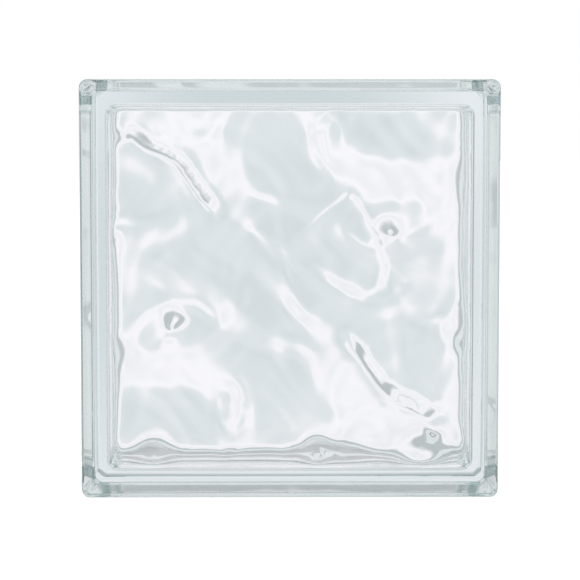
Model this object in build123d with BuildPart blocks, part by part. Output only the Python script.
from build123d import *
from math import cos, exp, hypot, inf, radians, sin, tan
import os

# Hollow glass block for walls and partitions, made of two pressed glass halves.
# Millimetres. X is the width, Y the depth (the front face looks to -Y) and Z is up.
# The origin is at the middle of the bottom, where the block stands on its lips.

# Outside
block_width = 190.0
block_height = 190.0
block_depth = 80.0
corner_radius = 3.5          # outline corner of the block
face_edge_round = 2.5        # rounding round each outer face

# Rim of each half: a full-size lip, a sloped shoulder, then the floor of the mortar groove
lip_thickness = 11.0
shoulder_slope = 4.0         # depth over which the lip falls to the groove floor
groove_depth = 5.5
lip_back_round = 1.2         # the lip's rear edge
groove_round = 2.0           # hollow where the shoulder meets the groove floor

# Glass
face_thickness = 8.5         # at the flat border of the panel
wall_at_face = 5.7           # side wall where it meets the panel
draft_angle = 1.0            # the cavity opens towards the seam so that the plunger can leave
cavity_corner_radius = 5.0
cavity_floor_round = 4.0     # fillet between the side walls and the panel

# Bead of glass squeezed out where the two halves are fused
bead_width = 3.0
bead_height = 0.8
bead_edge = 0.5              # bevel along each of its edges

# Waves pressed into the inner face of each panel
wave_border = 5.0            # flat strip between the cavity wall and the waves
wave_fade = 9.0              # width over which the waves grow from the border
wave_step = 5.6              # spacing of the sections that the wave surface passes through
wave_lift = 0.3              # low step round the wavy part, which stands proud of the border
wave_depth_room = 5.0        # how far below the flat border the wave block begins
front_wave_share = 0.2       # height of the pattern in the front panel against the back one
pattern_centre = (-3.8, 2.3)  # from the middle of the panel

# Sizes that follow from those above
half_depth = block_depth / 2
wall_width = block_width - 2 * groove_depth
wall_height = block_height - 2 * groove_depth
shoulder_start = half_depth - lip_thickness - shoulder_slope
lip_start = half_depth - lip_thickness
panel_level = half_depth - face_thickness
cavity_growth = panel_level * tan(radians(draft_angle))
panel_width = wall_width - 2 * wall_at_face
panel_height = wall_height - 2 * wall_at_face
mouth_width = panel_width + 2 * cavity_growth
mouth_height = panel_height + 2 * cavity_growth
wave_width = panel_width - 2 * wave_border
wave_height = panel_height - 2 * wave_border
wave_floor = panel_level - wave_depth_room
bead_reach = bead_width / 2
level_tolerance = 0.01

# Each half is built outwards from the seam, in the plane where the two meet
front_seam = Plane(origin=(0, 0, block_height / 2), x_dir=(1, 0, 0), z_dir=(0, -1, 0))
back_seam = Plane(origin=(0, 0, block_height / 2), x_dir=(-1, 0, 0), z_dir=(0, 1, 0))


def smooth_step(value):
    """Rises smoothly from 0 to 1 as value goes from 0 to 1."""
    value = min(max(value, 0.0), 1.0)
    return value * value * (3 - 2 * value)


def wave_strength(x, z):
    """1 over the middle of the panel, falling to 0 at the flat border."""
    from_side = wave_width / 2 - abs(x)
    from_end = wave_height / 2 - abs(z)
    return smooth_step(from_side / wave_fade) * smooth_step(from_end / wave_fade)


def fold(x, z, path, left_width, right_width, height):
    """A ridge along a bent path. Its flanks are told left and right from the path's start."""
    spans = len(path) - 1
    nearest = inf
    for number in range(spans):
        start_x, start_z = path[number]
        run_x = path[number + 1][0] - start_x
        run_z = path[number + 1][1] - start_z
        along = ((x - start_x) * run_x + (z - start_z) * run_z) / (run_x**2 + run_z**2)
        along = min(max(along, 0.0), 1.0)
        off_x = x - start_x - along * run_x
        off_z = z - start_z - along * run_z
        distance = hypot(off_x, off_z)
        if distance < nearest:
            nearest = distance
            width = left_width if run_x * off_z - run_z * off_x > 0 else right_width
            share = (number + along) / spans
    ends = smooth_step(share * 6) * smooth_step((1 - share) * 6)
    return height * exp(-((nearest / width) ** 2)) * ends


def dimple(x, z, centre, long_radius, short_radius, turn, height):
    """A rounded oval mound, or a hollow where height is negative."""
    c = cos(radians(turn))
    s = sin(radians(turn))
    along = (x - centre[0]) * c + (z - centre[1]) * s
    across = (z - centre[1]) * c - (x - centre[0]) * s
    return height * exp(-((along / long_radius) ** 2) - (across / short_radius) ** 2)


def back_wave(x, z):
    """Half of the back panel's pattern, seen from the front."""
    # the long crease from the top left corner to the middle
    crease = [(-84, 70), (-63, 61), (-49, 54), (-36, 36), (-26, 26), (-13, 18), (-3, 4), (0, -7)]
    wave = fold(x, z, crease, 10, 15, 2.0)
    # two swells below it, which run from the left side to the middle
    upper_swell = [(-80, 20), (-63, 23), (-50, 21.5), (-36, 18), (-26, 12.5), (-13, 3), (9, -17)]
    wave += fold(x, z, upper_swell, 9, 7, 1.0)
    lower_swell = [(-84, 5), (-63, -1), (-50, -6), (-34, -12), (-20, -23), (-7, -33), (8, -39)]
    wave += fold(x, z, lower_swell, 7, 9, -1.5)
    # the swell that comes in from the side and turns up to meet them
    side_swell = [(-88, -43), (-55, -42.5), (-39, -44), (-31, -39), (-26, -30), (-23, -22)]
    wave += fold(x, z, side_swell, 8, 10, 1.4)
    # the tongue right of the middle
    tongue = [(-2, 9), (9, 4), (25, -4), (35, -10.5), (43, -10.5), (49, -2), (49, 9), (44, 20), (36, 34)]
    wave += fold(x, z, tongue, 9, 6, 1.0)
    # mounds at the side and in the corner, the bubble-like hollow, the drop and the long oval
    wave += dimple(x, z, (-67, 46), 20, 11, 95, 1.5)
    wave += dimple(x, z, (-58, -64), 22, 13, 5, 1.2)
    wave += dimple(x, z, (-51.4, -21.8), 6.5, 6.5, 0, -1.0)
    wave += dimple(x, z, (-23.7, -65), 13, 8, 80, 1.2)
    wave += dimple(x, z, (46.8, -70), 16, 7, 0, 0.7)
    return wave


def front_wave(x, z):
    """Waves of the front panel's own, along its bottom."""
    wave = fold(x, z, [(-80, -72), (-60, -68), (-40, -76)], 10, 10, 0.8)
    wave += fold(x, z, [(10, -78), (24, -70), (40, -78)], 10, 10, 0.8)
    wave += fold(x, z, [(42, -76), (62, -66), (84, -72)], 10, 10, 1.2)
    return wave


def back_relief(x, z):
    """The pattern reads the same upside down, so each wave has a partner."""
    x -= pattern_centre[0]
    z -= pattern_centre[1]
    return back_wave(x, z) + back_wave(-x, -z)


def relief(x, z, half):
    """Height of the waves in the front (-1) or back (1) panel above its flat border."""
    height = back_relief(x, z)
    if half == -1:
        height = front_wave_share * height + front_wave(x, z)
    return wave_lift + wave_strength(x, z) * height


def even_steps(length):
    """Places from one end of a stretch to the other, about a wave step apart."""
    count = round(length / wave_step)
    return [length * (step / count - 0.5) for step in range(count + 1)]


def wave_block(half):
    """The hollow under the wavy part of the front (-1) or back (1) panel, lofted upwards."""
    with BuildPart() as block:
        for z in even_steps(wave_height):
            with BuildSketch(Plane.XY.offset(z + block_height / 2)):
                with BuildLine():
                    across = even_steps(wave_width)
                    crests = [(x, half * (panel_level - relief(x, z, half))) for x in across]
                    spacing = [number / (len(across) - 1) for number in range(len(across))]
                    add(Edge.make_spline(crests, parameters=spacing))
                    floor = half * wave_floor
                    Polyline(crests[-1], (across[-1], floor), (across[0], floor), crests[0])
                make_face()
        loft()
    return block.part


def edges_at(part, seam, level):
    """The edges that lie at one level outwards from the seam."""
    return part.edges().filter_by(
        lambda edge: abs(seam.to_local_coords(edge.center()).Z - level) < level_tolerance
    )


def runs_in_depth(edge):
    """True for an edge that runs from front to back, give or take the draft."""
    return abs(edge.tangent_at(0.5).Y) > cos(radians(2 * draft_angle))


def cavity_core(seam, waves):
    """The hollow of one half: a drafted pocket with round corners and a wavy floor."""
    with BuildPart() as core:
        with BuildSketch(seam.offset(panel_level)):
            Rectangle(panel_width, panel_height)
        extrude(amount=-panel_level)
        walls = core.faces().filter_by(lambda face: abs(face.normal_at().Y) < level_tolerance)
        draft(walls, seam.offset(panel_level), draft_angle)
        fillet(core.edges().filter_by(runs_in_depth), cavity_corner_radius)
        fillet(edges_at(core, seam, panel_level), cavity_floor_round)
        # the waves take the place of the flat floor inside its border
        with BuildSketch(seam.offset(wave_floor)):
            Rectangle(wave_width, wave_height)
        extrude(amount=wave_depth_room, mode=Mode.SUBTRACT)
        add(waves)
        # the bead inside the seam stands in the hollow
        with BuildSketch(seam):
            Rectangle(wall_width, wall_height)
            RectangleRounded(
                mouth_width - 2 * bead_height,
                mouth_height - 2 * bead_height,
                cavity_corner_radius - bead_height,
                mode=Mode.SUBTRACT,
            )
        extrude(amount=bead_reach, mode=Mode.SUBTRACT)
    return core.part


def outer_shape(seam):
    """The outside of one half, still solid: half a bead, wall, shoulder and lip."""
    with BuildPart() as outside:
        # outer bead at the seam
        with BuildSketch(seam):
            RectangleRounded(
                wall_width + 2 * bead_height,
                wall_height + 2 * bead_height,
                corner_radius + bead_height,
            )
        extrude(amount=bead_reach)
        chamfer(edges_at(outside, seam, bead_reach), bead_edge)
        # wall, which is the floor of the mortar groove
        with BuildSketch(seam):
            RectangleRounded(wall_width, wall_height, corner_radius)
        extrude(amount=shoulder_start)
        # sloped shoulder up to the lip
        with BuildSketch(seam.offset(shoulder_start)):
            RectangleRounded(wall_width, wall_height, corner_radius)
        with BuildSketch(seam.offset(lip_start)):
            RectangleRounded(block_width, block_height, corner_radius)
        loft(ruled=True)
        # full-size lip with its outer face
        with BuildSketch(seam.offset(lip_start)):
            RectangleRounded(block_width, block_height, corner_radius)
        extrude(amount=lip_thickness)
        fillet(edges_at(outside, seam, half_depth), face_edge_round)
        fillet(edges_at(outside, seam, lip_start), lip_back_round)
        fillet(edges_at(outside, seam, shoulder_start), groove_round)
    return outside.part


# Front half, whose outer face looks to -Y
with BuildPart() as front_half:
    add(outer_shape(front_seam))
    add(cavity_core(front_seam, wave_block(-1)), mode=Mode.SUBTRACT)

# Back half, fused to the front one all round the seam
with BuildPart() as back_half:
    add(outer_shape(back_seam))
    add(cavity_core(back_seam, wave_block(1)), mode=Mode.SUBTRACT)

os.makedirs("parts", exist_ok=True)
front_half.part.label = "front_half"
export_step(front_half.part, "parts/front_half.step")
back_half.part.label = "back_half"
export_step(back_half.part, "parts/back_half.step")
